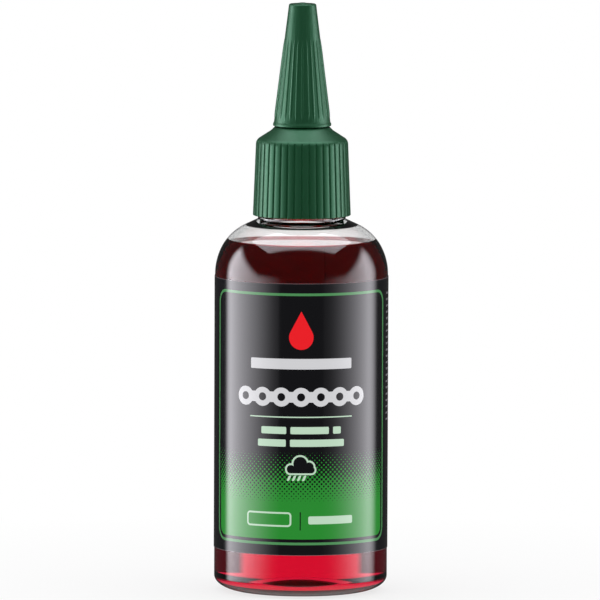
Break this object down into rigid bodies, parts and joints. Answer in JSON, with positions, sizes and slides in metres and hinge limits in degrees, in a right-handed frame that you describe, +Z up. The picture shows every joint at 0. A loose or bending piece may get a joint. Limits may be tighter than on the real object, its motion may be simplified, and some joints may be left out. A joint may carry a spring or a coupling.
{
  "type": "chain lube bottle",
  "caption": "Clear drip bottle of red chain oil with a wrap-round label, a ribbed screw closure with a conical spout, and a ribbed pull-off tip cap.",
  "frame": {"origin": "on the bottle's axis, in the plane of the ring it stands on", "axes": "+Z up along the bottle's axis, front of the label towards -Y, +X to the right seen from the front"},
  "size_m": [0.0412, 0.0413, 0.1397],
  "materials": {
    "clear_pet": "clear blown polyester, polished",
    "red_oil": "transparent deep red oil",
    "printed_film": "black self-adhesive film with green print, satin laminate",
    "white_foam": "closed-cell polyethylene foam",
    "green_polypropylene": "moulded, satin"
  },
  "bodies": {
    "bottle_body": {"bottle": "clear_pet", "lubricant": "red_oil", "label": "printed_film"},
    "washer_body": {"sealing_washer": "white_foam"},
    "closure_body": {"nozzle_closure": "green_polypropylene"},
    "cap_body": {"tip_cap": "green_polypropylene"}
  },
  "joints": [
    {"name": "closure_lift", "type": "slide", "parent": "bottle_body", "child": "washer_body", "axis": [0, 0, 1], "range_m": [0, 0.00517]},
    {"name": "closure_turn", "type": "hinge", "parent": "washer_body", "child": "closure_body", "pos_m": [0, 0, 0.1034], "axis": [0, 0, 1], "range_deg": [0, 585]},
    {"name": "tip_cap_pull", "type": "slide", "parent": "closure_body", "child": "cap_body", "axis": [0, 0, 1], "range_m": [0, 0.03]}
  ],
  "couplings": [
    {"joint": "closure_lift", "follows": "closure_turn", "m_per_rad": 0.00050532}
  ]
}
